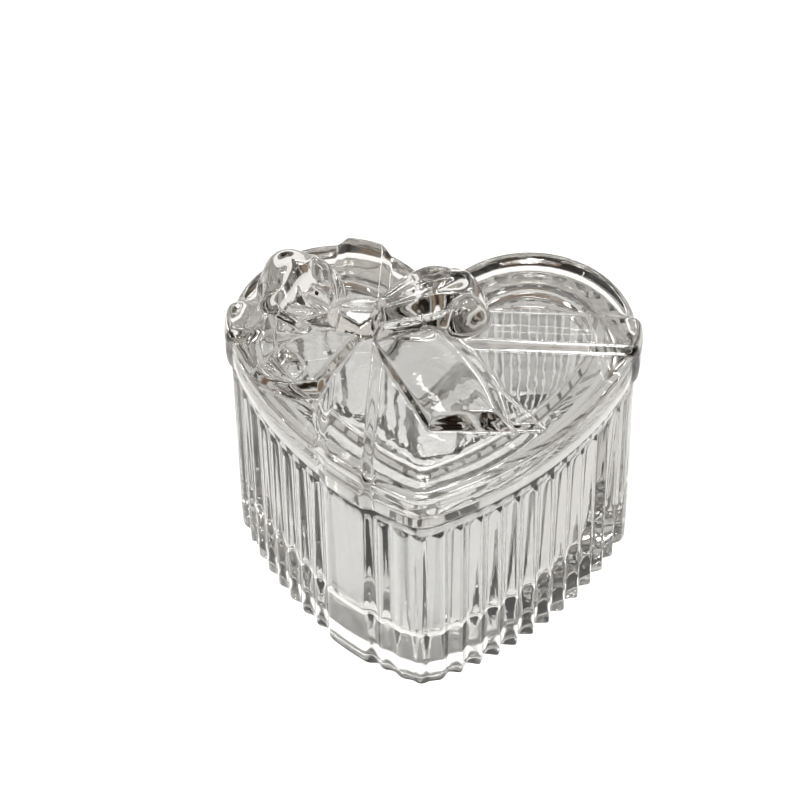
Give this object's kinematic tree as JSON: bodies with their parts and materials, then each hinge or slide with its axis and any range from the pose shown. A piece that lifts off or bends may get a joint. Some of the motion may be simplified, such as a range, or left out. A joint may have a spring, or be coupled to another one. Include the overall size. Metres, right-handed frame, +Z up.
{
  "type": "heart-shaped trinket box",
  "caption": "Heart-shaped box in clear pressed glass with reeded sides and a lift-off lid moulded with crossing ribbon straps and a bow.",
  "frame": {"origin": "centre of the bounding box at the level of the foot, where the box stands", "axes": "+Z up; -Y towards the tip of the heart; +X to the right seen from the tip, so the bow is on the -X lobe"},
  "size_m": [0.1082, 0.091, 0.0843],
  "materials": {
    "body_glass": "clear fire-polished pressed glass",
    "lid_glass": "clear fire-polished pressed glass"
  },
  "bodies": {
    "box": {"box_body": "body_glass"},
    "lid": {"lid": "lid_glass"}
  },
  "joints": [
    {"name": "lid_lift", "type": "slide", "parent": "box", "child": "lid", "axis": [0, 0, 1], "range_m": [0, 0.04]}
  ]
}
